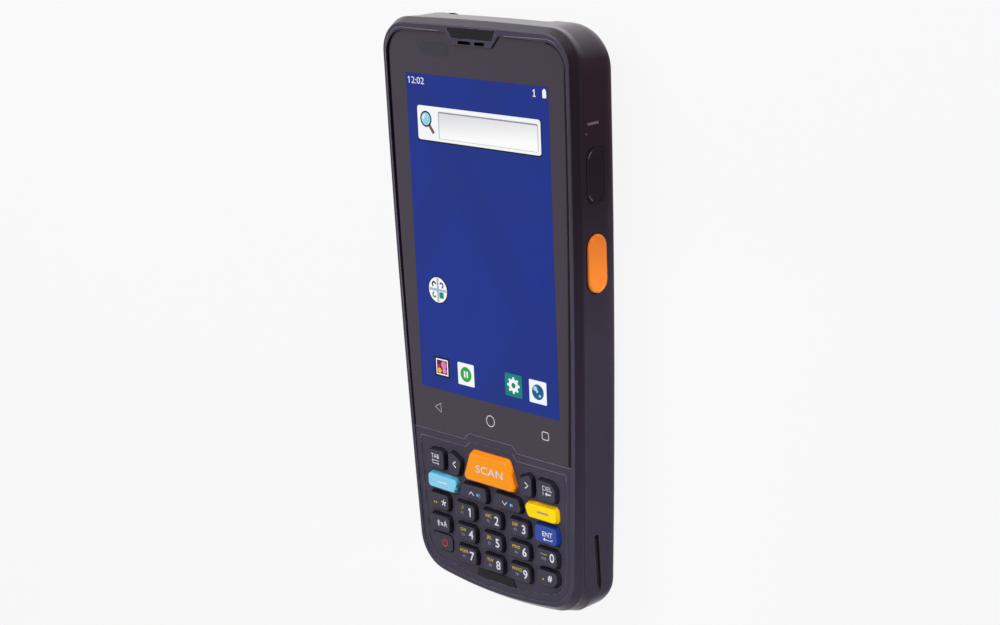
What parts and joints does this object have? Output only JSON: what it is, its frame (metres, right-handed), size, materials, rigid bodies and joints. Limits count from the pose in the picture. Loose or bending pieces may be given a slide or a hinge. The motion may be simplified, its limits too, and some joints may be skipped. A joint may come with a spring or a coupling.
{
  "type": "portable barcode data terminal",
  "caption": "Handheld data terminal with a touch screen, a numeric keypad with a wide scan key, orange side triggers and a scan window in the top end.",
  "frame": {"origin": "middle of the flat back, on the surface the device lies on", "axes": "+Z out of the screen, +Y towards the scanning end, +X to the right of the screen"},
  "size_m": [0.07, 0.157, 0.0189],
  "materials": {
    "front_plastic": "fine satin moulding grain",
    "rear_plastic": "fine satin moulding grain",
    "seal_rubber": "smooth silicone",
    "flap_rubber": "smooth rubber",
    "screen_glass": "polished, dark printed border",
    "display_stack": "polarising film",
    "backlight_steel": "pressed sheet",
    "frame_alloy": "cast and machined",
    "circuit_board": "solder mask",
    "dome_steel": "sprung steel",
    "badge_plate": "smooth insert",
    "module_black": "moulded",
    "lens_glass": "coated lens",
    "window_dark": "dark tinted window",
    "battery_wrap": "wrapped pack",
    "contact_gold": "gold plated",
    "flex_film": "polyimide film",
    "screw_steel": "blackened steel",
    "trigger_orange": "satin",
    "key_black": "satin",
    "key_cyan": "satin",
    "key_yellow": "satin",
    "key_blue": "satin"
  },
  "bodies": {
    "terminal": {"backlight_unit": "backlight_steel", "battery_contacts": "contact_gold", "battery_pack": "battery_wrap", "bottom_badge": "badge_plate", "camera_module": "module_black", "camera_window": "window_dark", "charging_contacts": "contact_gold", "display_flex": "flex_film", "display_panel": "display_stack", "front_housing": "front_plastic", "housing_screws": "screw_steel", "housing_seal": "seal_rubber", "key_domes": "dome_steel", "keypad_board": "circuit_board", "keypad_mat": "seal_rubber", "light_sensor": "module_black", "loudspeaker": "module_black", "main_board": "circuit_board", "mid_frame": "frame_alloy", "rear_housing": "rear_plastic", "receiver": "module_black", "receiver_mesh": "backlight_steel", "scan_engine": "module_black", "scan_lens": "lens_glass", "scan_window": "window_dark", "shield_cans": "backlight_steel", "side_switches": "module_black", "top_badge": "badge_plate", "touch_glass": "screen_glass", "usb_connector": "backlight_steel", "vibration_motor": "backlight_steel"},
    "key_tab": {"key_tab": "key_black"},
    "key_left": {"key_left": "key_black"},
    "key_scan": {"key_scan": "trigger_orange"},
    "key_right": {"key_right": "key_black"},
    "key_del": {"key_del": "key_black"},
    "key_cyan": {"key_cyan": "key_cyan"},
    "key_up": {"key_up": "key_black"},
    "key_down": {"key_down": "key_black"},
    "key_yellow": {"key_yellow": "key_yellow"},
    "key_star": {"key_star": "key_black"},
    "key_enter": {"key_enter": "key_blue"},
    "key_shift": {"key_shift": "key_black"},
    "key_power": {"key_power": "key_black"},
    "key_hash": {"key_hash": "key_black"},
    "key_0": {"key_0": "key_black"},
    "key_1": {"key_1": "key_black"},
    "key_2": {"key_2": "key_black"},
    "key_3": {"key_3": "key_black"},
    "key_4": {"key_4": "key_black"},
    "key_5": {"key_5": "key_black"},
    "key_6": {"key_6": "key_black"},
    "key_7": {"key_7": "key_black"},
    "key_8": {"key_8": "key_black"},
    "key_9": {"key_9": "key_black"},
    "trigger_right": {"side_trigger_right": "trigger_orange"},
    "trigger_left": {"side_trigger_left": "trigger_orange"},
    "flap": {"port_flap": "flap_rubber"},
    "cover": {"battery_cover": "rear_plastic"}
  },
  "joints": [
    {"name": "key_tab_press", "type": "slide", "parent": "terminal", "child": "key_tab", "axis": [0, 0, -1], "range_m": [0, 0.0005], "stiffness_N_per_m": 1500},
    {"name": "key_left_press", "type": "slide", "parent": "terminal", "child": "key_left", "axis": [0, 0, -1], "range_m": [0, 0.0005], "stiffness_N_per_m": 1500},
    {"name": "key_scan_press", "type": "slide", "parent": "terminal", "child": "key_scan", "axis": [0, 0, -1], "range_m": [0, 0.0005], "stiffness_N_per_m": 1500},
    {"name": "key_right_press", "type": "slide", "parent": "terminal", "child": "key_right", "axis": [0, 0, -1], "range_m": [0, 0.0005], "stiffness_N_per_m": 1500},
    {"name": "key_del_press", "type": "slide", "parent": "terminal", "child": "key_del", "axis": [0, 0, -1], "range_m": [0, 0.0005], "stiffness_N_per_m": 1500},
    {"name": "key_cyan_press", "type": "slide", "parent": "terminal", "child": "key_cyan", "axis": [0, 0, -1], "range_m": [0, 0.0005], "stiffness_N_per_m": 1500},
    {"name": "key_up_press", "type": "slide", "parent": "terminal", "child": "key_up", "axis": [0, 0, -1], "range_m": [0, 0.0005], "stiffness_N_per_m": 1500},
    {"name": "key_down_press", "type": "slide", "parent": "terminal", "child": "key_down", "axis": [0, 0, -1], "range_m": [0, 0.0005], "stiffness_N_per_m": 1500},
    {"name": "key_yellow_press", "type": "slide", "parent": "terminal", "child": "key_yellow", "axis": [0, 0, -1], "range_m": [0, 0.0005], "stiffness_N_per_m": 1500},
    {"name": "key_star_press", "type": "slide", "parent": "terminal", "child": "key_star", "axis": [0, 0, -1], "range_m": [0, 0.0005], "stiffness_N_per_m": 1500},
    {"name": "key_enter_press", "type": "slide", "parent": "terminal", "child": "key_enter", "axis": [0, 0, -1], "range_m": [0, 0.0005], "stiffness_N_per_m": 1500},
    {"name": "key_shift_press", "type": "slide", "parent": "terminal", "child": "key_shift", "axis": [0, 0, -1], "range_m": [0, 0.0005], "stiffness_N_per_m": 1500},
    {"name": "key_power_press", "type": "slide", "parent": "terminal", "child": "key_power", "axis": [0, 0, -1], "range_m": [0, 0.0005], "stiffness_N_per_m": 1500},
    {"name": "key_hash_press", "type": "slide", "parent": "terminal", "child": "key_hash", "axis": [0, 0, -1], "range_m": [0, 0.0005], "stiffness_N_per_m": 1500},
    {"name": "key_0_press", "type": "slide", "parent": "terminal", "child": "key_0", "axis": [0, 0, -1], "range_m": [0, 0.0005], "stiffness_N_per_m": 1500},
    {"name": "key_1_press", "type": "slide", "parent": "terminal", "child": "key_1", "axis": [0, 0, -1], "range_m": [0, 0.0005], "stiffness_N_per_m": 1500},
    {"name": "key_2_press", "type": "slide", "parent": "terminal", "child": "key_2", "axis": [0, 0, -1], "range_m": [0, 0.0005], "stiffness_N_per_m": 1500},
    {"name": "key_3_press", "type": "slide", "parent": "terminal", "child": "key_3", "axis": [0, 0, -1], "range_m": [0, 0.0005], "stiffness_N_per_m": 1500},
    {"name": "key_4_press", "type": "slide", "parent": "terminal", "child": "key_4", "axis": [0, 0, -1], "range_m": [0, 0.0005], "stiffness_N_per_m": 1500},
    {"name": "key_5_press", "type": "slide", "parent": "terminal", "child": "key_5", "axis": [0, 0, -1], "range_m": [0, 0.0005], "stiffness_N_per_m": 1500},
    {"name": "key_6_press", "type": "slide", "parent": "terminal", "child": "key_6", "axis": [0, 0, -1], "range_m": [0, 0.0005], "stiffness_N_per_m": 1500},
    {"name": "key_7_press", "type": "slide", "parent": "terminal", "child": "key_7", "axis": [0, 0, -1], "range_m": [0, 0.0005], "stiffness_N_per_m": 1500},
    {"name": "key_8_press", "type": "slide", "parent": "terminal", "child": "key_8", "axis": [0, 0, -1], "range_m": [0, 0.0005], "stiffness_N_per_m": 1500},
    {"name": "key_9_press", "type": "slide", "parent": "terminal", "child": "key_9", "axis": [0, 0, -1], "range_m": [0, 0.0005], "stiffness_N_per_m": 1500},
    {"name": "trigger_right_press", "type": "slide", "parent": "terminal", "child": "trigger_right", "axis": [-1, 0, 0], "range_m": [0, 0.0006], "stiffness_N_per_m": 2000},
    {"name": "trigger_left_press", "type": "slide", "parent": "terminal", "child": "trigger_left", "axis": [1, 0, 0], "range_m": [0, 0.0006], "stiffness_N_per_m": 2000},
    {"name": "flap_hinge", "type": "hinge", "parent": "terminal", "child": "flap", "pos_m": [0.03477, 0.04855, 0.0102], "axis": [0, 0, 1], "range_deg": [0, 110]},
    {"name": "cover_hinge", "type": "hinge", "parent": "terminal", "child": "cover", "pos_m": [0, 0.0098, 0.00085], "axis": [1, 0, 0], "range_deg": [0, 90]}
  ]
}
